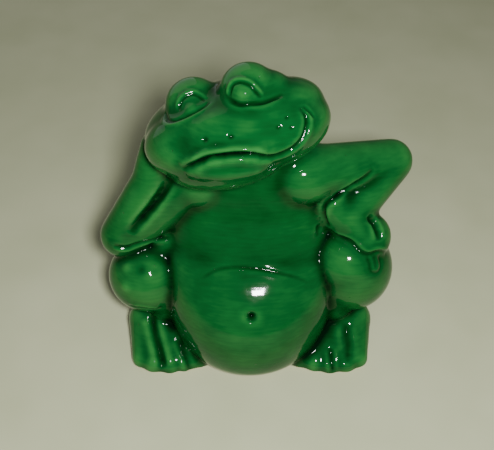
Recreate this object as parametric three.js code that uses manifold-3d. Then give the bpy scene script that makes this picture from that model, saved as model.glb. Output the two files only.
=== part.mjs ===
// Seated frog figurine: a hollow slip-cast earthenware body under a coat of clear green glaze.
// Millimetres, +Z up. The frog faces -Y, with its left hand on the +X side. The origin is on the
// table, under the middle of the figure.
import * as THREE from 'three';
import { mergeVertices } from 'three/addons/utils/BufferGeometryUtils.js';
import Module from 'manifold-3d';

const wasm = await Module();
wasm.setup();

// Walls and clearances
const glazeThickness = 0.5;
const glazeGap = 0.3; // keeps the two solids apart where real glaze is fused to the clay
const clayWall = 4.5;
const baseWall = 5;
const dryFootHeight = 2.5; // the band above the table that is wiped free of glaze
const pourHoleRadius = 13;
const pourHoleSetback = 8; // behind the belly's middle
const smallestHollowRadius = 3.5; // slip closes up solid in anything narrower

// Torso. A setback is how far a middle lies behind the belly's.
const bellyHalfWidth = 35;
const bellyReach = 35; // front to back, from the belly's own middle
const bellyMiddleHeight = 22;
const bellyHalfHeight = 37;
const bellyMiddleY = -25;
const paunchHeight = 42; // the upper part of the belly, under the chest
const paunchHalfHeight = 24;
const paunchSetback = 4;
const paunchInset = 1; // narrower and shallower than the belly by this much
const chestHalfWidth = 29;
const chestHalfDepth = 21;
const chestTop = 98;
const chestSetback = 10;
const rumpReach = 27;
const rumpHalfHeight = 26;
const rumpSetback = 21;
const rumpDrop = 2; // below the belly's middle
const rumpOverhang = 1; // wider than the belly by this much

// Head
const headHalfWidth = 34;
const headHalfLength = 26;
const headHalfHeight = 18;
const headSink = 6; // how far the head sits down into the chest
const headShift = -6; // off the midline, towards its right hand
const headY = -19;
const headTurn = THREE.MathUtils.degToRad(-16); // towards its right hand
const headNod = THREE.MathUtils.degToRad(-18); // chin up
const headLean = THREE.MathUtils.degToRad(-19); // on to its right hand
const muzzleShare = { width: 0.8, length: 0.7, height: 0.8, forward: 0.45, drop: 0.05 }; // of the head
const jawShare = { width: 0.76, length: 0.72, height: 0.6, forward: 0.36, drop: 0.6 };
const eyeRadius = 10;
const eyeHalfSpacing = 11;
const eyeShift = 1.5; // both eyes sit a little to the frog's right
const eyeForward = 5;
const eyeSink = 3.5; // how far the eyes' middles lie under the top of the head

// Arms
const shoulderRadius = 10;
const shoulderInset = 4; // from the chest's side in to the shoulder's middle
const shoulderRise = 0.4; // share of the chest's half height
const shoulderSetback = 11;
const elbowRadius = 8.5;
const leftElbowSpread = 55.5; // the left elbow sticks out
const leftElbowDrop = 5; // below the shoulder
const leftElbowSetback = 21;
const rightElbowSpread = 51.5;
const rightElbowForward = 4.5; // of the kneecap's line
const wristRadius = 6.5;
const crookSpread = 5; // how far past the shoulder the clay fills the left arm's crook
const crookDrop = 5; // how far below the chest's middle it fills the right arm's
const fingerRadius = 3;
const fingerSpread = 2.2; // from one finger to the next, in finger radii
const fingerReach = 5; // forward, from palm to knuckle and from knuckle to tip
const fingerDrop = 6;

// Legs
const kneeRadius = 15;
const kneeOverlap = 0.47; // share of the knee that is sunk in the belly's side
const kneeForward = 1.5; // of the belly's middle
const kneeHeight = 33.5;
const thighRadius = 17;
const hipInset = 9;
const hipSetback = 23;
const hipDrop = 3; // below the belly's middle
const ankleRadius = 10;
const ankleInset = 0.5; // under the knee
const ankleForward = 4;
const toeRadius = 5.5;
const toeSink = 1.5; // how far the toes are pressed flat on the table
const toeReach = 49; // how far forward the toes' middles lie
const toeAcross = [-2, 9, 19]; // of the three toes, inwards from the ankle
const toeExtra = [-2, 0, -1]; // added to each toe's reach
const instep = { inset: 7, forward: 8, height: 2, halfSizes: [15, 13, 7] };

// Surface quality
const facetLength = 13; // about the longest edge across a rounded face
const fewestSides = 8;

// Places that follow from the sizes
const chestHeight = (chestTop + paunchHeight) / 2; // the chest reaches down to the paunch's middle
const chestHalfHeight = (chestTop - paunchHeight) / 2;
const kneeX = bellyHalfWidth + kneeRadius * (1 - kneeOverlap);
const kneeY = bellyMiddleY - kneeForward;
const kneeTop = kneeHeight + kneeRadius;
const ankleX = kneeX - ankleInset;
const shoulderX = chestHalfWidth - shoulderInset;
const shoulderY = bellyMiddleY + shoulderSetback;
const shoulderHeight = chestHeight + chestHalfHeight * shoulderRise;
const headMiddle = new THREE.Vector3(headShift, headY, chestTop + headHalfHeight * 0.6 - headSink);

const clayColour = new THREE.MeshStandardMaterial({ color: '#cdbfa6', roughness: 0.85, metalness: 0 });
const glazeColour = new THREE.MeshStandardMaterial({ color: '#176c28', roughness: 0.12, metalness: 0 });

const headPose = new THREE.Matrix4().compose(
  headMiddle,
  new THREE.Quaternion().setFromEuler(new THREE.Euler(headNod, headLean, headTurn, 'ZYX')),
  new THREE.Vector3(1, 1, 1),
);

// How many sides a round of this radius is given, an even number.
function sidesFor(radius) {
  return Math.max(fewestSides, 2 * Math.round((Math.PI * radius) / facetLength));
}

function onHead(x, y, z) {
  return new THREE.Vector3(x, y, z).applyMatrix4(headPose);
}

// A closed three.js geometry as a solid that can be joined and cut.
function solidFrom(geometry) {
  const bare = geometry.clone();
  bare.deleteAttribute('normal');
  bare.deleteAttribute('uv');
  const merged = mergeVertices(bare, 1e-4);
  return new wasm.Manifold(new wasm.Mesh({
    numProp: 3,
    vertProperties: merged.attributes.position.array,
    triVerts: new Uint32Array(merged.index.array),
  }));
}

function meshFrom(name, solid, material) {
  const { vertProperties, triVerts } = solid.getMesh();
  const geometry = new THREE.BufferGeometry();
  geometry.setAttribute('position', new THREE.BufferAttribute(vertProperties, 3));
  geometry.setIndex(new THREE.BufferAttribute(triVerts, 1));
  geometry.computeVertexNormals();
  const mesh = new THREE.Mesh(geometry, material);
  mesh.name = name;
  return mesh;
}

// An egg shape: middle, half sizes and an optional turn. Its least half size says how thick it is.
function ball(middle, halfSizes, turn = new THREE.Quaternion()) {
  return {
    least: Math.min(...halfSizes),
    grown(by) {
      const sides = sidesFor(Math.max(...halfSizes));
      const geometry = new THREE.SphereGeometry(1, sides, Math.round(sides * 0.6));
      geometry.rotateX(Math.PI / 2);
      geometry.scale(...halfSizes.map((half) => half + by));
      geometry.applyQuaternion(turn);
      geometry.translate(middle.x, middle.y, middle.z);
      return solidFrom(geometry);
    },
  };
}

// A round-ended limb that tapers from one radius to another.
function limb(start, startRadius, end, endRadius) {
  const along = end.clone().sub(start);
  const length = along.length();
  const lean = Math.asin((startRadius - endRadius) / length);
  return {
    least: Math.min(startRadius, endRadius),
    grown(by) {
      const profile = [];
      const sides = sidesFor(Math.max(startRadius, endRadius));
      const endSteps = Math.round(sides / 4);
      for (let i = 0; i <= endSteps; i += 1) {
        const angle = -Math.PI / 2 + (lean + Math.PI / 2) * (i / endSteps);
        profile.push(arcPoint(startRadius + by, angle, 0));
      }
      for (let i = 0; i <= endSteps; i += 1) {
        const angle = lean + (Math.PI / 2 - lean) * (i / endSteps);
        profile.push(arcPoint(endRadius + by, angle, length));
      }
      profile[0].x = 0;
      profile[profile.length - 1].x = 0;
      const geometry = new THREE.LatheGeometry(profile, sides);
      geometry.applyQuaternion(
        new THREE.Quaternion().setFromUnitVectors(new THREE.Vector3(0, 1, 0), along.clone().normalize()),
      );
      geometry.translate(start.x, start.y, start.z);
      return solidFrom(geometry);
    },
  };
}

function arcPoint(radius, angle, rise) {
  return new THREE.Vector2(radius * Math.cos(angle), rise + radius * Math.sin(angle));
}

function at(x, y, z) {
  return new THREE.Vector3(x, y, z);
}

function torso() {
  const paunchWidth = bellyHalfWidth - paunchInset;
  const paunchReach = bellyReach - paunchInset;
  const rumpWidth = bellyHalfWidth + rumpOverhang;
  const rump = at(0, bellyMiddleY + rumpSetback, bellyMiddleHeight - rumpDrop);
  return [
    ball(at(0, bellyMiddleY, bellyMiddleHeight), [bellyHalfWidth, bellyReach, bellyHalfHeight]),
    ball(at(0, bellyMiddleY + paunchSetback, paunchHeight), [paunchWidth, paunchReach, paunchHalfHeight]),
    ball(at(1, bellyMiddleY + chestSetback, chestHeight), [chestHalfWidth, chestHalfDepth, chestHalfHeight]),
    ball(rump, [rumpWidth, rumpReach, rumpHalfHeight]),
  ];
}

// A part of the head whose sizes and place are shares of the head's own.
function headPart(share, turn) {
  const middle = onHead(0, -headHalfLength * share.forward, -headHalfHeight * share.drop);
  return ball(
    middle,
    [headHalfWidth * share.width, headHalfLength * share.length, headHalfHeight * share.height],
    turn,
  );
}

function head() {
  const turn = new THREE.Quaternion().setFromRotationMatrix(headPose);
  const parts = [
    ball(headMiddle, [headHalfWidth, headHalfLength, headHalfHeight], turn),
    headPart(muzzleShare, turn),
    headPart(jawShare, turn),
  ];
  for (const side of [-1, 1]) {
    const eye = onHead(side * eyeHalfSpacing - eyeShift, -eyeForward, headHalfHeight - eyeSink);
    parts.push(ball(eye, [eyeRadius, eyeRadius, eyeRadius], turn));
  }
  return parts;
}

// The left arm: elbow out, hand on the knee.
function leftArm() {
  const shoulder = at(shoulderX, shoulderY, shoulderHeight);
  const elbow = at(leftElbowSpread, bellyMiddleY + leftElbowSetback, shoulderHeight - leftElbowDrop);
  const wrist = at(kneeX - 5, kneeY + 5, kneeTop + wristRadius * 1.5);
  const crook = at(shoulderX + crookSpread, shoulderY + 2, chestHeight);
  const palm = at(kneeX + 3, kneeY - 4, kneeTop - 1);
  const parts = [
    limb(shoulder, shoulderRadius, elbow, elbowRadius),
    limb(elbow, elbowRadius, wrist, wristRadius + 2),
    limb(crook, wristRadius, wrist, wristRadius + 2),
    ball(palm, [fingerRadius * 3.4, fingerRadius * 3, fingerRadius * 1.6]),
  ];
  for (const finger of [-1, 0, 1]) {
    const across = palm.x + finger * fingerSpread * fingerRadius;
    const knuckle = at(across, palm.y - fingerReach, palm.z);
    const tip = at(across, knuckle.y - fingerReach, palm.z - fingerDrop);
    parts.push(limb(knuckle, fingerRadius, tip, fingerRadius));
  }
  return parts;
}

// The right arm: elbow on the knee, hand at the cheek.
function rightArm() {
  const shoulder = at(-shoulderX, shoulderY + 1, shoulderHeight - 3);
  const elbow = at(-rightElbowSpread, kneeY + rightElbowForward, kneeTop + elbowRadius * 0.5);
  const crook = at(-shoulderX - 1, shoulderY + 1, chestHeight - crookDrop);
  const cheek = onHead(-headHalfWidth * 0.96, 0, -headHalfHeight * 0.5);
  return [
    limb(shoulder, shoulderRadius, elbow, elbowRadius),
    limb(crook, wristRadius, elbow, wristRadius),
    limb(elbow, elbowRadius, cheek, wristRadius + 1),
  ];
}

function leg(side) {
  const knee = at(side * kneeX, kneeY, kneeHeight);
  const hip = at(side * (bellyHalfWidth - hipInset), bellyMiddleY + hipSetback, bellyMiddleHeight - hipDrop);
  const ankle = at(side * ankleX, kneeY - ankleForward, ankleRadius);
  const parts = [
    ball(knee, [kneeRadius, kneeRadius, kneeRadius]),
    limb(knee, kneeRadius, hip, thighRadius),
    limb(knee, ankleRadius, ankle, ankleRadius),
    ball(at(side * (ankleX - instep.inset), ankle.y - instep.forward, instep.height), instep.halfSizes),
  ];
  toeAcross.forEach((across, i) => {
    const tip = at(side * (ankleX - across), -toeReach - toeExtra[i], toeRadius - toeSink);
    parts.push(limb(ankle, toeRadius, tip, toeRadius));
  });
  return parts;
}

const pieces = [...torso(), ...head(), ...leftArm(), ...rightArm(), ...leg(-1), ...leg(1)];

// The parts as one solid, with any pocket shut in between them filled.
function joined(parts, by) {
  const whole = parts.map((part) => part.grown(by)).reduce((sum, part) => sum.add(part));
  return biggest(whole.decompose());
}

function biggest(solids) {
  return solids.reduce((best, solid) => (solid.volume() > best.volume() ? solid : best));
}

// All that stands above a height.
function above(height, solid) {
  const reach = 400; // more than the figure's whole size
  const block = new THREE.BoxGeometry(reach, reach, reach);
  block.translate(0, 0, height + reach / 2);
  return solid.intersect(solidFrom(block));
}

function clayBody() {
  const skin = glazeThickness + glazeGap;
  const outside = above(0, joined(pieces, -skin));
  const hollowParts = pieces.filter((part) => part.least - skin - clayWall > smallestHollowRadius);
  const hollow = above(baseWall, joined(hollowParts, -skin - clayWall));
  const hole = new THREE.CylinderGeometry(pourHoleRadius, pourHoleRadius, baseWall * 4, 32);
  hole.rotateX(Math.PI / 2);
  hole.translate(0, bellyMiddleY + pourHoleSetback, 0);
  return outside.subtract(hollow).subtract(solidFrom(hole));
}

function glazeCoat() {
  const coat = joined(pieces, 0).subtract(joined(pieces, -glazeThickness));
  return biggest(above(dryFootHeight, coat).decompose());
}

const frog = new THREE.Group();
frog.add(meshFrom('clay_body', clayBody(), clayColour));
frog.add(meshFrom('glaze_coat', glazeCoat(), glazeColour));

const middle = new THREE.Box3().setFromObject(frog).getCenter(new THREE.Vector3());
for (const mesh of frog.children) {
  mesh.position.set(-middle.x, -middle.y, 0);
}

export default frog;
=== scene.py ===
import bpy
import numpy as np
from math import radians
from mathutils import Euler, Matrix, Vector
from mathutils.bvhtree import BVHTree


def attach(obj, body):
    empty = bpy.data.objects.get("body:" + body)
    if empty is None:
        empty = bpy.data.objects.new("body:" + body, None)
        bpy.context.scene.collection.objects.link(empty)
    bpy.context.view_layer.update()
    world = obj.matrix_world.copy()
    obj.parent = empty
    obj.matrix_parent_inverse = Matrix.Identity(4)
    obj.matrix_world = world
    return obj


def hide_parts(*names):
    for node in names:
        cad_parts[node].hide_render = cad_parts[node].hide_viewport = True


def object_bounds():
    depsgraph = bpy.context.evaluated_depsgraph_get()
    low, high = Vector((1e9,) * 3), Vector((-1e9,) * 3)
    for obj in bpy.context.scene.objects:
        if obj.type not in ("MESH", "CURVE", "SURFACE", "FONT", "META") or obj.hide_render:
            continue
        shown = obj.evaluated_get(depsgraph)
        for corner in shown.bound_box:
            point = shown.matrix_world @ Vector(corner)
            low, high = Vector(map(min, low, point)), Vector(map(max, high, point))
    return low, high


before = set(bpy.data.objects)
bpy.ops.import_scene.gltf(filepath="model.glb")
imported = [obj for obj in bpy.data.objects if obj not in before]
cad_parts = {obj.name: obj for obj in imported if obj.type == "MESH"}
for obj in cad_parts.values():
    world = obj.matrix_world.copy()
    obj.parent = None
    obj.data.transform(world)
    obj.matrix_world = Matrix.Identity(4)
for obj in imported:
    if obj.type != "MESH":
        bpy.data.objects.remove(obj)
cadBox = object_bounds()

# The sculpt is worked in the millimetres of a frog 130.2 mm tall. Its own zero is on the table,
# on the midline of the belly: 59.9 mm in from the frame's low side and 59.1 mm behind its front.
design = {"height": 130.2, "side": 59.9, "front": 59.1}
mm = (cadBox[1][2] - cadBox[0][2]) / design["height"]
zero = Vector((cadBox[0][0] + design["side"] * mm, cadBox[0][1] + design["front"] * mm, cadBox[0][2]))

clay = {"voxel": 1.0, "footHeight": 2.5, "glazeThickness": 0.5,
        "keptFaces": 0.35, "lipOverlap": 1.1}
# how far each group of lumps is rubbed smooth once it is joined
softness = {"torso": 7, "head": 12, "leftForearm": 7, "rightForearm": 6, "knee": 12, "foot": 3,
            "glazed_frog": 1.5, "hollow": 6}


def place(x, y, z):
    return zero + Vector((x, y, z)) * mm


def clearSelection():
    bpy.ops.object.select_all(action="DESELECT")


def pick(piece):
    clearSelection()
    piece.select_set(True)
    bpy.context.view_layer.objects.active = piece


def addBall(at, half, turn=(0, 0, 0)):
    clearSelection()
    bpy.ops.mesh.primitive_uv_sphere_add(segments=64, ring_count=32, radius=1, location=place(*at))
    ball = bpy.context.object
    ball.rotation_euler = [radians(a) for a in turn]
    ball.scale = [h * mm for h in half]
    bpy.ops.object.transform_apply(location=True, rotation=True, scale=True)
    return ball


# A round-ended limb that tapers from one radius to another.
def addLimb(start, end, startRadius, endRadius):
    a, b = place(*start), place(*end)
    along = b - a
    clearSelection()
    bpy.ops.mesh.primitive_cone_add(vertices=64, radius1=startRadius * mm, radius2=endRadius * mm,
                                    depth=along.length, location=(a + b) / 2)
    cone = bpy.context.object
    cone.rotation_euler = along.to_track_quat("Z", "Y").to_euler()
    bpy.ops.object.transform_apply(location=True, rotation=True, scale=True)
    return [cone, addBall(start, [startRadius] * 3), addBall(end, [endRadius] * 3)]


def applyModifier(piece, kind, **settings):
    pick(piece)
    modifier = piece.modifiers.new(kind.title(), kind)
    for key, value in settings.items():
        setattr(modifier, key, value)
    bpy.ops.object.modifier_apply(modifier=modifier.name)


# Joins lumps of clay into one skin and rubs the joints smooth: the softness is about the
# square of the radius, in mm, that the rubbing leaves in a corner.
def fuse(name, lumps, voxel=clay["voxel"]):
    pick(lumps[0])
    for lump in lumps:
        lump.select_set(True)
    bpy.ops.object.join()
    joined = bpy.context.object
    joined.name = joined.data.name = name
    applyModifier(joined, "REMESH", mode="VOXEL", voxel_size=voxel * mm)
    applyModifier(joined, "SMOOTH", factor=0.5, iterations=max(1, round(softness[name] / voxel ** 2)))
    return joined


# Limbs are given as start, end and the two radii, balls as middle, half sizes and turn.
def addLumps(limbs, balls):
    lumps = []
    for limb in limbs:
        lumps += addLimb(*limb)
    return lumps + [addBall(*ball) for ball in balls]


def readPoints(mesh):
    flat = np.empty(len(mesh.vertices) * 3)
    mesh.vertices.foreach_get("co", flat)
    return (flat.reshape(-1, 3) - np.array(zero)) / mm


def writePoints(mesh, points):
    mesh.vertices.foreach_set("co", (points * mm + np.array(zero)).ravel())
    mesh.update()


def readNormals(mesh):
    flat = np.empty(len(mesh.vertices) * 3)
    mesh.vertex_normals.foreach_get("vector", flat)
    return flat.reshape(-1, 3)


# The torso, as rings up a pear: height, half width, front, widest part, back.
torsoRings = [
    (-2, 28, -51, -22, 18), (6, 32.5, -57, -22, 22), (12, 34.5, -58.6, -22, 23),
    (20, 35.5, -58.9, -22, 23), (26, 35.5, -57.9, -22, 21), (31, 35.4, -56.2, -21, 20),
    (35, 35.2, -54, -21, 18), (40, 34.7, -50.4, -20, 16), (44, 34.4, -46.3, -19, 14),
    (46, 34.1, -43.9, -18, 13), (47.5, 34, -41.9, -18, 12.5), (48.8, 33.8, -39.8, -18, 12),
    (50, 33.6, -37.6, -17, 11), (51, 33.4, -36.6, -17, 11), (54, 32.9, -35, -16, 10),
    (60, 31.9, -32.2, -15, 8), (68, 30.6, -28.8, -13, 6), (77, 28.5, -26, -12, 5),
    (86, 25, -23.2, -11, 3), (97, 17, -22, -11, 0),
]


# between these heights the rings go from a plain oval to a slightly squared one
chest = {"from": (15, 45), "squareness": (1, 0.86)}


# A smooth curve through rows of (height, value, value...), read at the given heights.
def throughRows(rows, heights):
    table = np.array(rows, float)
    z = table[:, 0]
    slope = np.gradient(table[:, 1:], z, axis=0)
    k = np.clip(np.searchsorted(z, heights, side="right") - 1, 0, len(z) - 2)
    gap = (z[k + 1] - z[k])[:, None]
    t = np.clip((heights - z[k])[:, None] / gap, 0, 1)
    ease = t * t * (3 - 2 * t)
    bend = slope[k] * t * (1 - t) ** 2 - slope[k + 1] * t ** 2 * (1 - t)
    return table[k, 1:] * (1 - ease) + table[k + 1, 1:] * ease + bend * gap


def makeTrunk():
    ball = addBall((0, 0, 0), (1, 1, 1))
    unit = readPoints(ball.data)
    low, high = torsoRings[0][0], torsoRings[-1][0]
    height = low + (high - low) * (np.arcsin(np.clip(unit[:, 2], -1, 1)) / np.pi + 0.5)
    width, front, middle, back = throughRows(torsoRings, height).T
    around = np.hypot(unit[:, 0], unit[:, 1])
    aside, behind = [np.where(around > 1e-4, unit[:, k] / np.maximum(around, 1e-9), 0) for k in (0, 1)]
    squareness = np.interp(height, chest["from"], chest["squareness"])
    aside, behind = [np.sign(part) * np.abs(part) ** squareness for part in (aside, behind)]
    y = middle + behind * np.where(behind < 0, middle - front, back - middle)
    writePoints(ball.data, np.stack([width * aside, y, height], axis=1))
    return ball


upperArms = [((24, -15, 79), (55, -4.5, 75.5), 10.5, 8.8), ((-22, -14, 76), (-50, -21, 51), 11.5, 9)]
shoulders = [((20, -14, 78), (15, 13, 12)), ((-19, -14, 76), (14, 13, 12))]


def makeTorso():
    return fuse("torso", [makeTrunk()] + addLumps(upperArms, shoulders))


head = {"at": (-6, -19, 103), "turn": (-18, -19, -16)}
headTurn = Euler([radians(a) for a in head["turn"]]).to_matrix()


def onHead(x, y, z):
    return tuple(Vector(head["at"]) + headTurn @ Vector((x, y, z)))


# skull, muzzle, chin, two eye mounds, the brow behind the left one and the cheek under it
headLumps = [
    ((1, 0, 0.5), (35, 26, 17)), ((-1, -12, 0), (28, 18, 14)), ((-1, -9, -8), (23, 18, 9.5)),
    ((-10, -6.5, 12), (10, 10.5, 10)), ((11.5, -6, 14.5), (10, 10.5, 10)),
    ((16, -2, 13), (9, 9, 7)), ((19, 2, 5.5), (15, 16, 10)),
]


def makeHead():
    return fuse("head", [addBall(onHead(*at), half, head["turn"]) for at, half in headLumps])


# elbow to wrist, palm, fingers and the knuckles bent over the knee
leftForearm = [((55, -4.5, 75.5), (38, -20, 62), 8.8, 9), ((38, -21, 60), (31, -18, 68), 8.5, 8),
               ((39, -22, 61), (45.5, -28, 53), 7.5, 5.5)]
knuckles = [((46, -25, 54), (9.5, 10, 8), (25, 20, -25))]
# elbow to wrist, and the hand under the cheek
rightForearm = [((-50.5, -21, 51), (-38, -17, 76), 9.2, 7.4), ((-38, -17, 76), (-34.5, -13.5, 90), 7.4, 6.6)]


def makeForearms():
    return [fuse("leftForearm", addLumps(leftForearm, knuckles)),
            fuse("rightForearm", addLumps(rightForearm, []))]


# each toe's distance from the midline, and how far forward it reaches
toes = [(44.5, -46), (39.5, -48.5), (33, -49), (27, -48), (21, -46)]
foot = {"heelSpread": 27, "heelGather": 0.35, "heelBack": -30, "heelHeight": 9, "heelRadius": 9,
        "toeHeight": 3.2, "toeRadius": 4.8}
# the kneecaps, right (-1) and left (1): the left one is a little higher and taller
kneecaps = {-1: ((-41.5, -26, 33), (16.2, 15.4, 15.5)), 1: ((41.5, -26, 37), (16.2, 15.4, 19.5))}
# the inside of the knee and the thigh behind it, as they are on the left
kneeInside = {"at": (34, -25, 27), "half": (12, 14, 20)}
thigh = {"knee": (43, -24, 31), "hip": (26, -2, 19), "kneeRadius": 14, "hipRadius": 17}
# the clay that closes the crook over each knee: under the right elbow, and under the left hand
kneeTops = {-1: ((-32.5, -18.5, 47), (9.5, 10, 9.5)), 1: ((39.5, -25.5, 43), (15.5, 15, 14))}


def mirrored(at, side):
    return (side * at[0], at[1], at[2])


def makeLegs():
    legs = []
    for side in (-1, 1):
        knee = [addBall(*kneecaps[side]), addBall(mirrored(kneeInside["at"], side), kneeInside["half"])]
        knee += addLimb(mirrored(thigh["knee"], side), mirrored(thigh["hip"], side),
                        thigh["kneeRadius"], thigh["hipRadius"])
        knee.append(addBall(*kneeTops[side]))
        legs.append(fuse("knee", knee))
        lumps = []
        for across, reach in toes:
            spread = across * foot["heelGather"] + foot["heelSpread"]
            heel = (side * spread, foot["heelBack"], foot["heelHeight"])
            tip = (side * across, reach, foot["toeHeight"])
            lumps += addLimb(heel, tip, foot["heelRadius"], foot["toeRadius"])
        legs.append(fuse("foot", lumps))
    return legs


# Strokes of the modelling tool. Each has the points it runs through, how deep and wide it cuts,
# and how high the clay rolls up on its left and right. "taper" is the share of its length over
# which it fades in and out. The face's points are in the head's own millimetres.
faceStrokes = [
    {"name": "mouth", "depth": 1.8, "width": 0.9, "left": 1.3, "right": 0.5, "roll": 2.2, "taper": 0.22,
     "points": [(-8.5, -29, -4), (-2.5, -29.5, -2), (3, -29.5, -0.5), (7.5, -29, -0.5),
                (12.5, -27.5, -1), (17, -25, -2.5), (20, -22, -4.5)]},
    {"name": "lowerLip", "depth": -1.4, "width": 3, "left": 0, "right": 0, "roll": 3, "taper": 0.2,
     "points": [(-8, -27.5, -6.5), (-0.5, -28, -6.5), (7.5, -26, -7.5), (13.5, -23.5, -8),
                (17, -21, -8), (20.5, -19.5, -6.5)]},
    {"name": "smile", "depth": 1.0, "width": 0.8, "left": 0.25, "right": 0.35,
     "roll": 1.8, "taper": 0.15,
     "points": [(17, -25, -2.5), (20, -22, -4.5), (23, -18.5, -5.5), (27, -15.5, -4.5),
                (30.5, -13.5, -2), (32, -12, 1), (32, -10, 4.5), (30, -9, 8)]},
    {"name": "dimple", "depth": 0.8, "width": 0.6, "left": 0, "right": 0.3, "roll": 1, "taper": 0.3,
     "points": [(30.5, -8, 8), (32.5, -8, 5.5), (33.5, -8, 3)]},
    {"name": "rightLid", "depth": 0.55, "width": 0.5, "left": 0.4, "right": 0,
     "roll": 1.3, "taper": 0.12,
     "points": [(-10, -17.5, 13.5), (-9.5, -16, 15.5), (-8, -15, 17), (-5.5, -13.5, 17.5),
                (-3.5, -13, 16), (-1.5, -14, 14.8)]},
    {"name": "rightUnderEye", "depth": 0.9, "width": 0.7, "left": 0, "right": 0.4,
     "roll": 1.6, "taper": 0.2,
     "points": [(-17.5, -14, 12.5), (-15, -18, 11), (-11.5, -20.5, 11), (-6.5, -20.5, 12),
                (-3, -19, 12.5), (-1, -17, 13.5), (0.5, -14, 14.5)]},
    {"name": "leftLid", "depth": 0.8, "width": 0.6, "left": 0.5, "right": 0, "roll": 1.3, "taper": 0.12,
     "points": [(9, -16, 15.5), (10, -15.5, 18.5), (11.5, -14.5, 19.5), (14, -14.5, 19.5),
                (16, -14, 18), (17.5, -14, 16), (19, -13.5, 13.5)]},
    {"name": "leftUnderEye", "depth": 0.9, "width": 0.7, "left": 0, "right": 0.4,
     "roll": 1.6, "taper": 0.2,
     "points": [(7, -15, 16.5), (9.5, -16.5, 14.5), (12.5, -17, 13), (15.5, -16, 12.5), (19, -14, 12),
                (21.5, -11.5, 12), (24.5, -8, 12.5)]},
]
bodyStrokes = [
    {"name": "bellyFold", "depth": 0.45, "width": 0.7, "left": 0, "right": 0.12,
     "roll": 1.8, "taper": 0.25,
     "points": [(-19, -40.5, 46), (-16.5, -39.5, 48), (-12, -38, 49.5), (-5.5, -38, 50.5),
                (3.5, -38.5, 50), (12, -39.5, 48.5), (18.5, -40, 46.5), (22.5, -41, 44.5)]},
    {"name": "leftCrook", "depth": 1.5, "width": 0.9, "left": 0.3, "right": 0.3,
     "roll": 2, "taper": 0.25,
     "points": [(46.5, -16, 81.5), (43.5, -18, 79), (39, -20, 77), (33.5, -22.5, 74), (28.5, -25, 71),
                (27.5, -26, 67), (28, -27, 63), (28, -30, 57.5)]},
    {"name": "handOnKnee", "depth": 0.6, "width": 0.8, "left": 0.4, "right": 0,
     "roll": 1.5, "taper": 0.2,
     "points": [(29, -28.5, 58), (33, -27, 58), (36, -29, 57.5), (39, -30.5, 57), (41, -32, 55.5),
                (43, -33, 54), (45.5, -33.5, 53.5), (49, -32.5, 54), (53, -29, 51)]},
    {"name": "outerFinger", "depth": 1.5, "width": 1.5, "left": 0.5, "right": 0.5,
     "roll": 2, "taper": 0.25,
     "points": [(45, -25, 65.5), (47, -25, 61.5), (48.5, -27.5, 59.5), (49.5, -30.5, 57.5)]},
    {"name": "fingerTip", "depth": 0.3, "width": 0.7, "left": 0.25, "right": 0,
     "roll": 1.4, "taper": 0.1,
     "points": [(44.5, -33.5, 52.5), (44.8, -34, 49), (46, -35.5, 46.5), (48.5, -35.5, 45.5),
                (50, -34, 47.5), (50, -33, 52.5)]},
    {"name": "rightCrook", "depth": 2.2, "width": 1.7, "left": 0.5, "right": 0.3,
     "roll": 2.5, "taper": 0.3,
     "points": [(-29, -22, 82), (-32, -23, 77), (-34.5, -24.5, 74), (-37.5, -25.5, 70),
                (-40.5, -26.5, 66.5), (-43.5, -27.5, 63), (-46, -28.5, 59.5)]},
    {"name": "elbowOnKnee", "depth": 1.0, "width": 0.9, "left": 0, "right": 0.4,
     "roll": 1.6, "taper": 0.15,
     "points": [(-53.5, -29.5, 53.5), (-48.5, -29.5, 52.5), (-45, -29, 53.5), (-41.5, -28, 54),
                (-36, -25.5, 53.5), (-31.5, -26, 54)]},
    {"name": "rightKneeUnder", "depth": 0.9, "width": 0.9, "left": 0.5, "right": 0,
     "roll": 1.3, "taper": 0.25,
     "points": [(-49, -40, 29), (-46, -41.5, 29), (-43, -41.5, 29), (-40, -41, 28),
                (-37.5, -39.5, 27.5), (-35.5, -38.5, 29)]},
    {"name": "rightToeGroove", "depth": 1.5, "width": 1.6, "left": 0.6, "right": 0.6,
     "roll": 3, "taper": 0.15,
     "points": [(-41, -34, 17), (-40, -38, 14.5), (-39, -42, 12.5), (-37, -47, 9), (-35, -52.5, 5)]},
    {"name": "rightInnerToeGroove", "depth": 1.1, "width": 1.3, "left": 0.4, "right": 0.4,
     "roll": 2.5, "taper": 0.2,
     "points": [(-30, -42.5, 12), (-28, -46.5, 9.5), (-26, -50, 7), (-25, -52, 2)]},
    {"name": "leftToeGroove", "depth": 1.1, "width": 2.0, "left": 0.4, "right": 0.4,
     "roll": 3, "taper": 0.25,
     "points": [(40, -37, 15.5), (40, -40.5, 13), (40.5, -45, 10.5), (40, -51.5, 6)]},
    {"name": "leftInnerToeGroove", "depth": 0.9, "width": 1.2, "left": 0.3, "right": 0.3,
     "roll": 2, "taper": 0.2,
     "points": [(33, -46, 10), (33.5, -50.5, 7.5), (34, -53.5, 3)]},
]
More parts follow.
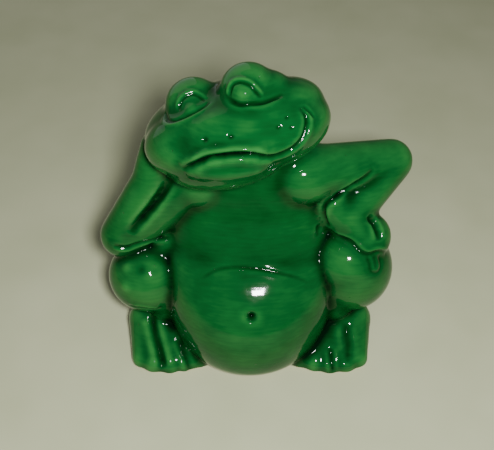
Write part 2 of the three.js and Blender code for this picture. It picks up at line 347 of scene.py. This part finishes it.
# Dabs of the tool: a middle, how far the clay is pushed in (minus lifts it) and how wide.
faceDabs = [
    ((2, -28, 6), 0.8, 1.0), ((11, -26.5, 6), 0.8, 1.0),
    ((27, -14.5, 6.5), 0.45, 0.7), ((25, -18, 4.5), 0.45, 0.7), ((28.5, -15.5, 3), 0.45, 0.7),
    ((-5.5, -17.5, 14.5), -1.4, 3), ((14.5, -17, 16), -1.6, 3.6),
    ((-7, -28, 5), 1.8, 6), ((2, -29, 4), 0.8, 6), ((9, -27, 4.5), 1.2, 7), ((16, -24, 3.5), 1.4, 7),
    ((22, -19.5, 2.5), 1.2, 7), ((28, -14, 3), 0.5, 6),
]
bodyDabs = [
    ((0.5, -50.5, 36.5), 3.2, 1.6), ((0.5, -50.5, 36.5), -0.5, 3.2),
    ((-37, -36.5, 46), -0.9, 4), ((-37, -36.5, 46), 0.6, 2.4), ((-48.5, -33, 45), -0.6, 2.2),
    ((-49.5, -38.5, 39), -0.6, 2.2), ((-42.5, -34.5, 45), 0.5, 1.5),
]


# step: how closely a line is followed; reach: how near a line the faces are split; fadePower: how
# fast a stroke fades in; rollSpread: how wide a roll of clay is, as a share of its distance.
tool = {"step": 0.4, "reach": 3.2, "fadePower": 0.7, "rollSpread": 0.6}


# Samples a smooth line through the points.
def sampleLine(points):
    p = np.array(points, float)
    p = np.vstack([2 * p[0] - p[1], p, 2 * p[-1] - p[-2]])
    samples = []
    for a, b, c, d in zip(p[:-3], p[1:-2], p[2:-1], p[3:]):
        t = np.arange(0, 1, tool["step"] / max(np.linalg.norm(c - b), tool["step"]))[:, None]
        samples.append(0.5 * (2 * b + (c - a) * t + (2 * a - 5 * b + 4 * c - d) * t ** 2
                              + (3 * b - a - 3 * c + d) * t ** 3))
    return np.vstack(samples + [p[-2:-1]])


def snapped(tree, samples):
    found = [tree.find_nearest(place(*sample))[0] for sample in samples]
    return (np.array([tuple(spot) for spot in found]) - np.array(zero)) / mm


def toBody(points, onFace):
    return [onHead(*point) for point in points] if onFace else points


def allStrokes():
    for strokes, onFace in ((faceStrokes, True), (bodyStrokes, False)):
        for stroke in strokes:
            yield stroke, toBody(stroke["points"], onFace)


def allDabs():
    for dabs, onFace in ((faceDabs, True), (bodyDabs, False)):
        for middle, depth, radius in dabs:
            yield toBody([middle], onFace)[0], depth, radius


def skinTree(piece):
    mesh = piece.data
    return BVHTree.FromPolygons([v.co for v in mesh.vertices], [p.vertices for p in mesh.polygons])


# Splits the faces near the strokes, so that the fine lines have enough clay to be cut in.
def refineNear(piece):
    tree = skinTree(piece)
    marks = [snapped(tree, sampleLine(points)[::3]) for _, points in allStrokes()]
    marks += [snapped(tree, [middle]) for middle, _, radius in allDabs() if radius < 2]
    marks = np.vstack(marks)
    points = readPoints(piece.data)
    near = np.zeros(len(points), bool)
    for mark in marks:
        near |= ((points - mark) ** 2).sum(axis=1) < tool["reach"] ** 2
    pick(piece)
    bpy.ops.object.mode_set(mode="EDIT")
    bpy.ops.mesh.select_mode(type="VERT")
    bpy.ops.mesh.select_all(action="DESELECT")
    bpy.ops.object.mode_set(mode="OBJECT")
    piece.data.vertices.foreach_set("select", near)
    bpy.ops.object.mode_set(mode="EDIT")
    bpy.ops.mesh.subdivide(number_cuts=1)
    bpy.ops.object.mode_set(mode="OBJECT")
    applyModifier(piece, "SMOOTH", factor=0.5, iterations=3)


def carve(piece):
    tree = skinTree(piece)
    points, normals = readPoints(piece.data), readNormals(piece.data)
    lift = np.zeros(len(points))
    for stroke, line in allStrokes():
        samples = snapped(tree, sampleLine(line))
        reach = 3 * max(stroke["width"], stroke["roll"])
        inside = ((points > samples.min(axis=0) - reach) & (points < samples.max(axis=0) + reach)).all(axis=1)
        some = np.flatnonzero(inside)
        apart = ((points[some, None] - samples[None]) ** 2).sum(axis=2)
        nearest = apart.argmin(axis=1)
        distance = np.sqrt(apart.min(axis=1))
        along = np.gradient(samples, axis=0)[nearest]
        leftward = np.cross(normals[some], along)
        sign = np.sign(((points[some] - samples[nearest]) * leftward).sum(axis=1))
        share = nearest / (len(samples) - 1)
        fade = np.clip(np.minimum(share, 1 - share) / stroke["taper"], 0, 1) ** tool["fadePower"]
        cut = -stroke["depth"] * np.exp(-(distance / stroke["width"]) ** 2)
        rolled = np.exp(-((distance - stroke["roll"]) / (tool["rollSpread"] * stroke["roll"])) ** 2)
        rolled *= np.where(sign > 0, stroke["left"], stroke["right"])
        lift[some] += fade * (cut + rolled)
    for middle, depth, radius in allDabs():
        spot = snapped(tree, [middle])[0]
        lift -= depth * np.exp(-((points - spot) ** 2).sum(axis=1) / radius ** 2)
    writePoints(piece.data, points + normals * lift[:, None])
    applyModifier(piece, "SMOOTH", factor=0.4, iterations=1)


# rounds of averaging that find the fine and the broad hollows, and how much each one counts
poolingAndShading = {"fineRounds": 6, "broadRounds": 50, "fine": 3.5, "broad": 0.55, "softenRounds": 2}


# How thickly the glaze lies: it runs off the ridges and pools in the hollows. The same value also paints
# light on the ridges and shade in the creases, pits and gaps between parts. Each size of hollow is found as
# how far the surface lies under its own neighbourhood's average.
def markGlazeAndPaintedShading(piece):
    mesh = piece.data
    points, normals = readPoints(mesh), readNormals(mesh)
    edges = np.empty(len(mesh.edges) * 2, int)
    mesh.edges.foreach_get("vertices", edges)
    a, b = edges.reshape(-1, 2).T
    count = np.bincount(a, minlength=len(points)) + np.bincount(b, minlength=len(points))
    count = np.maximum(count, 1)[:, None]

    def averaged(values, rounds):
        for _ in range(rounds):
            total = np.zeros_like(values)
            for axis in range(values.shape[1]):
                total[:, axis] = np.bincount(a, values[b, axis], len(points))
                total[:, axis] += np.bincount(b, values[a, axis], len(points))
            values = 0.5 * values + 0.5 * total / count
        return values

    fine = averaged(points, poolingAndShading["fineRounds"])
    broad = averaged(fine, poolingAndShading["broadRounds"])
    fineHollow = ((fine - points) * normals).sum(axis=1)
    broadHollow = ((broad - fine) * normals).sum(axis=1)
    glazePoolAndPaintedShading = fineHollow * poolingAndShading["fine"] + broadHollow * poolingAndShading["broad"]
    glazePoolAndPaintedShading = averaged(glazePoolAndPaintedShading[:, None], poolingAndShading["softenRounds"])[:, 0]
    print("glaze pool range", np.percentile(glazePoolAndPaintedShading, [1, 10, 50, 90, 99]).round(3))
    mesh.attributes.new("glazePoolAndPaintedShading", "FLOAT", "POINT").data.foreach_set("value", glazePoolAndPaintedShading)


def cutBelow(piece, height, fill):
    pick(piece)
    bpy.ops.object.mode_set(mode="EDIT")
    bpy.ops.mesh.select_all(action="SELECT")
    bpy.ops.mesh.bisect(plane_co=place(0, 0, height), plane_no=(0, 0, 1), clear_inner=True, use_fill=fill,
                        threshold=0.001 * mm)
    bpy.ops.object.mode_set(mode="OBJECT")


def makeSculpt():
    groups = [makeTorso(), makeHead()] + makeForearms() + makeLegs()
    sculpt = fuse("glazed_frog", groups)
    refineNear(sculpt)
    carve(sculpt)
    return sculpt


# The fired clay under the glaze: the same skin a little smaller, standing on a flat dry foot.
def makeClayBody(sculpt):
    pick(sculpt)
    bpy.ops.object.duplicate()
    body = bpy.context.object
    body.name = body.data.name = "bare_clay_body"
    writePoints(body.data, readPoints(body.data) - readNormals(body.data) * clay["glazeThickness"])
    applyModifier(body, "DECIMATE", ratio=clay["keptFaces"])
    cutBelow(body, 0, True)
    hollow = makeHollow()
    applyModifier(body, "BOOLEAN", object=hollow, operation="DIFFERENCE", solver="EXACT")
    bpy.data.objects.remove(hollow)
    return body


# trunk: how much narrower, shallower and lower the hollow is than the trunk, about its middle
inside = {"middle": (0, -18, 46), "trunk": (0.86, 0.84, 0.94), "floor": 4.5, "head": (29, 20, 11),
          "throat": (0, -13, 72), "throatRadii": (12, 10), "voxel": 1.6,
          "drain": (0, -17, 0), "drainRadius": 13, "drainDepth": 20}


# The hollow that the drained slip leaves, from the head down to the drain hole under the seat.
def makeHollow():
    trunk = makeTrunk()
    middle = np.array(inside["middle"])
    points = middle + (readPoints(trunk.data) - middle) * inside["trunk"]
    points[:, 2] = np.maximum(points[:, 2], inside["floor"])
    writePoints(trunk.data, points)
    lumps = [trunk, addBall(onHead(0, 0, -1), inside["head"], head["turn"])]
    lumps += addLimb(inside["throat"], onHead(0, 0, -2), *inside["throatRadii"])
    hollow = fuse("hollow", lumps, inside["voxel"])
    clearSelection()
    bpy.ops.mesh.primitive_cylinder_add(vertices=96, radius=inside["drainRadius"] * mm,
                                        depth=inside["drainDepth"] * mm, location=place(*inside["drain"]))
    drain = bpy.context.object
    applyModifier(hollow, "BOOLEAN", object=drain, operation="UNION", solver="EXACT")
    bpy.data.objects.remove(drain)
    return hollow


# The glaze is wiped off just above the foot; its edge turns in until it meets the clay.
def turnEdgeIn(coat, body):
    clayTree = skinTree(body)
    pick(coat)
    bpy.ops.object.mode_set(mode="EDIT")
    bpy.ops.mesh.select_mode(type="EDGE")
    bpy.ops.mesh.select_all(action="DESELECT")
    bpy.ops.mesh.select_non_manifold(use_wire=False, use_multi_face=False, use_non_contiguous=False,
                                     use_verts=False)
    bpy.ops.mesh.extrude_region_move()
    bpy.ops.object.mode_set(mode="OBJECT")
    for corner in [v for v in coat.data.vertices if v.select]:
        inward = clayTree.find_nearest(corner.co)[0] - corner.co
        inward.z = 0
        corner.co += inward * clay["lipOverlap"]


view = {"from": (-1.2, -257.6, 293), "down": 45, "lens": 61.9, "sensor": 36, "nearest": 0.01}


def makeCamera():
    clearSelection()
    bpy.ops.object.camera_add(location=place(*view["from"]), rotation=(radians(90 - view["down"]), 0, 0))
    camera = bpy.context.object
    camera.data.lens = view["lens"]
    camera.data.sensor_width = view["sensor"]
    camera.data.clip_start = view["nearest"]
    bpy.context.scene.camera = camera


def linear(hexColour):
    channels = [int(hexColour[i:i + 2], 16) / 255 for i in (1, 3, 5)]
    return [c / 12.92 if c <= 0.04045 else ((c + 0.055) / 1.055) ** 2.4 for c in channels] + [1]


# Adds a shader node: inputs are given by name, as a value or as the socket that feeds them.
def addNode(tree, kind, inputs, **settings):
    node = tree.nodes.new("ShaderNode" + kind)
    for key, value in settings.items():
        setattr(node, key, value)
    for name, value in inputs.items():
        if isinstance(value, bpy.types.NodeSocket):
            tree.links.new(value, node.inputs[name])
        else:
            node.inputs[name].default_value = value
    return node


def newMaterial(name):
    material = bpy.data.materials.new(name)
    material.use_nodes = True
    tree = material.node_tree
    return material, tree, tree.nodes["Principled BSDF"]


def ramp(tree, value, stops):
    node = addNode(tree, "ValToRGB", {"Fac": value})
    elements = node.color_ramp.elements
    while len(elements) < len(stops):
        elements.new(0.5)
    for element, (position, colour) in zip(elements, stops):
        element.position = position
        element.color = linear(colour)
    return node.outputs["Color"]


# Noise whose spots are about this many millimetres across, stretched along one axis if asked.
def noise(tree, spot, detail=2, stretch=(1, 1, 1)):
    coords = addNode(tree, "TexCoord", {}).outputs["Object"]
    laid = addNode(tree, "Mapping", {"Vector": coords, "Scale": [1 / s for s in stretch]})
    node = addNode(tree, "TexNoise", {"Vector": laid.outputs["Vector"], "Scale": 1 / (spot * mm),
                                      "Detail": detail})
    return node.outputs["Fac"]


def weighted(tree, value, times, plus):
    node = addNode(tree, "Math", {0: value, 1: times, 2: plus}, operation="MULTIPLY_ADD")
    return node.outputs["Value"]


# Relief of this many millimetres, laid over an earlier relief if one is given.
def bumped(tree, height, depth, under=None):
    inputs = {"Height": height, "Distance": depth * mm, "Strength": 1.0}
    if under is not None:
        inputs["Normal"] = under
    return addNode(tree, "Bump", inputs).outputs["Normal"]


glaze = {"thinRidgeAndPaintedLight": "#28692f", "usual": "#08451b", "thick": "#032f0e", "deepestPoolAndShade": "#011206",
         "usualAt": 0.42, "thickAt": 0.68,
         "least": 0.18, "poolAndShadeShare": 0.45, "blotch": 14, "blotchShare": 0.42, "brushMark": 0.9,
         "brushShare": 0.2, "brushDepth": 0.01, "wave": 8, "waveDepth": 0.09, "pinhole": 7,
         "pinholeDepth": 0.15, "roughness": 0.06, "bending": 1.5, "shine": 0.19, "creaseShineDimmedAsShade": 0.05}


# A clear lead-green gloss glaze, brushed on and fired: bright and a little yellow where it has run thin over
# a ridge, nearly black where it pools, with soft blotches, brush marks and pinholes. The ridges' brightness
# is also painted light, and the near-black of the creases, pits and gaps between parts is also painted shade.
def makeGlazeMaterial():
    material, tree, surface = newMaterial("green_lead_glaze_brushed_and_fired")
    glazePoolAndPaintedShading = addNode(tree, "Attribute", {}, attribute_name="glazePoolAndPaintedShading").outputs["Fac"]
    blotches = noise(tree, glaze["blotch"], 3)
    brushed = noise(tree, glaze["brushMark"], 2, (9, 3, 1))
    thickness = weighted(tree, glazePoolAndPaintedShading, glaze["poolAndShadeShare"], glaze["least"])
    thickness = weighted(tree, blotches, glaze["blotchShare"], thickness)
    thickness = weighted(tree, brushed, glaze["brushShare"], thickness)
    # the thin colour also paints light on the ridges; the thick and deepest colours also paint shade in the
    # hollows
    colour = ramp(tree, thickness, [(0.0, glaze["thinRidgeAndPaintedLight"]), (glaze["usualAt"], glaze["usual"]),
                                    (glaze["thickAt"], glaze["thick"]), (1.0, glaze["deepestPoolAndShade"])])
    coords = addNode(tree, "TexCoord", {}).outputs["Object"]
    pinholes = addNode(tree, "TexVoronoi", {"Vector": coords, "Scale": 1 / (glaze["pinhole"] * mm)})
    spot = addNode(tree, "MapRange", {"Value": pinholes.outputs["Distance"], "From Min": 0.03,
                                      "From Max": 0.055, "To Min": 0, "To Max": 1}).outputs["Result"]
    normal = bumped(tree, noise(tree, glaze["wave"], 2), glaze["waveDepth"])
    normal = bumped(tree, brushed, glaze["brushDepth"], normal)
    normal = bumped(tree, spot, glaze["pinholeDepth"], normal)
    tree.links.new(colour, surface.inputs["Base Color"])
    tree.links.new(normal, surface.inputs["Normal"])
    surface.inputs["Roughness"].default_value = glaze["roughness"]
    surface.inputs["IOR"].default_value = glaze["bending"]
    # the reflection is dimmed in the hollows as painted shade, standing in for the light the creases block
    shine = addNode(tree, "MapRange", {"Value": thickness, "From Min": 0.5, "From Max": 0.9,
                                       "To Min": glaze["shine"], "To Max": glaze["creaseShineDimmedAsShade"]})
    tree.links.new(shine.outputs["Result"], surface.inputs["Specular IOR Level"])
    return material


bisque = {"pale": "#cfc2a8", "warm": "#c3b08d", "mottle": 9, "grain": 0.5, "grainDepth": 0.05,
          "roughness": 0.85}


# White earthenware, cast in a mould and fired once, left bare: chalky and faintly warm, with a fine
# grain, a soft mottle where the kiln toasted it and no shine at all.
def makeClayMaterial():
    material, tree, surface = newMaterial("white_earthenware_cast_and_bisque_fired")
    mottle = noise(tree, bisque["mottle"], 4)
    colour = ramp(tree, mottle, [(0.35, bisque["pale"]), (0.7, bisque["warm"])])
    tree.links.new(colour, surface.inputs["Base Color"])
    grain = bumped(tree, noise(tree, bisque["grain"], 3), bisque["grainDepth"])
    tree.links.new(grain, surface.inputs["Normal"])
    surface.inputs["Roughness"].default_value = bisque["roughness"]
    return material


card = {"dark": "#abb08c", "light": "#b4b895", "mottle": 40, "roughness": 0.9, "metres": 6}


# The floor is plain uncoated card, grey-green and quite without shine.
def makeFloor():
    clearSelection()
    bpy.ops.mesh.primitive_plane_add(size=card["metres"])
    floor = bpy.context.object
    floor.name = "floor"
    material, tree, surface = newMaterial("matt_card")
    colour = ramp(tree, noise(tree, card["mottle"]), [(0.3, card["dark"]), (0.7, card["light"])])
    tree.links.new(colour, surface.inputs["Base Color"])
    surface.inputs["Roughness"].default_value = card["roughness"]
    floor.data.materials.append(material)


light = {"key": (26, -262, 300), "keyWidth": 0.036, "keyPower": 2.3, "world": 0.13,
         "back": (-420, 700, 420), "backWidth": 1.0, "backPower": 1.7, "aim": (0, -20, 60)}


# The small lamp stands close to the camera; a broad, dim one behind keeps the back readable.
def makeLights():
    for name in ("key", "back"):
        clearSelection()
        bpy.ops.object.light_add(type="AREA", location=place(*light[name]))
        lamp = bpy.context.object
        lamp.name = name + "Light"
        lamp.data.energy = light[name + "Power"]
        lamp.data.size = light[name + "Width"]
        aim = place(*light["aim"]) - lamp.location
        lamp.rotation_euler = aim.to_track_quat("-Z", "Y").to_euler()
    world = bpy.data.worlds.new("studio")
    world.use_nodes = True
    world.node_tree.nodes["Background"].inputs["Color"].default_value = [light["world"]] * 3 + [1]
    bpy.context.scene.world = world


def finishPiece(piece, material, node):
    piece.data.materials.clear()
    piece.data.materials.append(material)
    pick(piece)
    bpy.ops.object.shade_smooth_by_angle(angle=radians(60))
    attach(piece, "root")
    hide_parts(node)


makeCamera()
makeFloor()
makeLights()
frog = makeSculpt()
print("sculpt modelled, faces:", len(frog.data.polygons))
clayBody = makeClayBody(frog)
print("clay body hollowed, faces:", len(clayBody.data.polygons))
cutBelow(frog, clay["footHeight"], False)
markGlazeAndPaintedShading(frog)
turnEdgeIn(frog, clayBody)
print("glaze coat trimmed, faces:", len(frog.data.polygons))
finishPiece(frog, makeGlazeMaterial(), "glaze_coat")
finishPiece(clayBody, makeClayMaterial(), "clay_body")
print("pieces finished")
